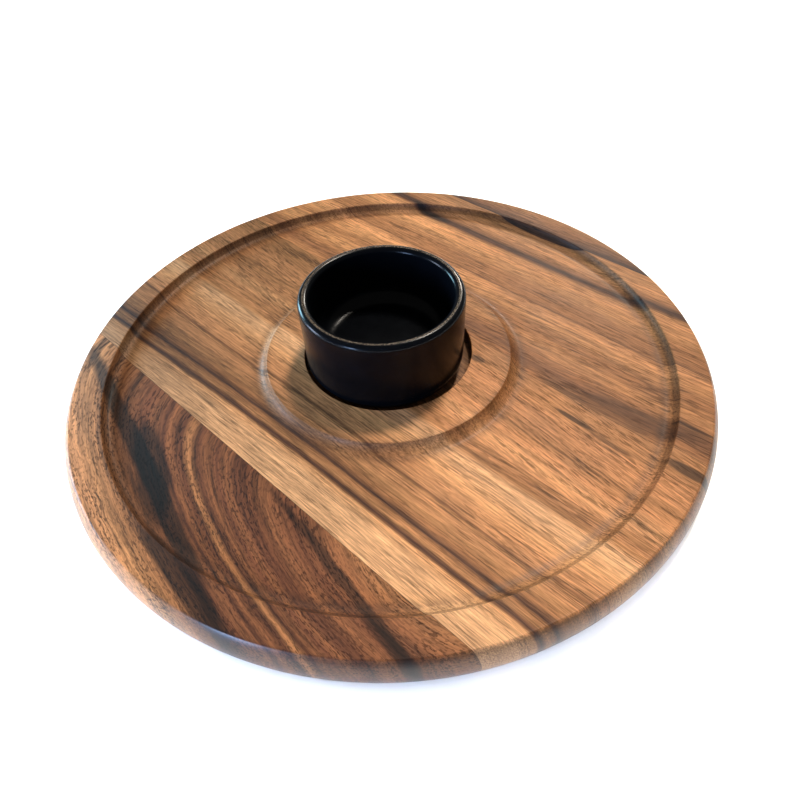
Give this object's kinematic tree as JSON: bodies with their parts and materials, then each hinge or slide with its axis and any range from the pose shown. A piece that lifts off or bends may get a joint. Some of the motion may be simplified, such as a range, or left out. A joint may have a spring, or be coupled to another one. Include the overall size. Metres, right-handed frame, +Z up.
{
  "type": "chip and dip server",
  "caption": "Round hardwood tray with a rounded edge, a shallow ring-shaped hollow for chips and a raised centre whose seat holds a loose glazed dip bowl.",
  "frame": {"origin": "bottom centre of the tray, on the face it rests on", "axes": "+Z up out of the tray and along the bowl's lift, +X along the grain of the staves, +Y across the staves from stave_1 to stave_8"},
  "size_m": [0.3556, 0.3556, 0.0602],
  "materials": {
    "dark_wood": "satin oiled",
    "pale_wood": "satin oiled",
    "tan_wood": "satin oiled",
    "brown_wood": "satin oiled",
    "black_glaze": "semi-gloss glaze"
  },
  "bodies": {
    "tray": {"stave_1": "dark_wood", "stave_2": "pale_wood", "stave_3": "tan_wood", "stave_4": "tan_wood", "stave_5": "tan_wood", "stave_6": "brown_wood", "stave_7": "tan_wood", "stave_8": "brown_wood"},
    "bowl": {"dip_bowl": "black_glaze"}
  },
  "joints": [
    {"name": "bowl_lift", "type": "slide", "parent": "tray", "child": "bowl", "axis": [0, 0, 1], "range_m": [0, 0.06]}
  ]
}
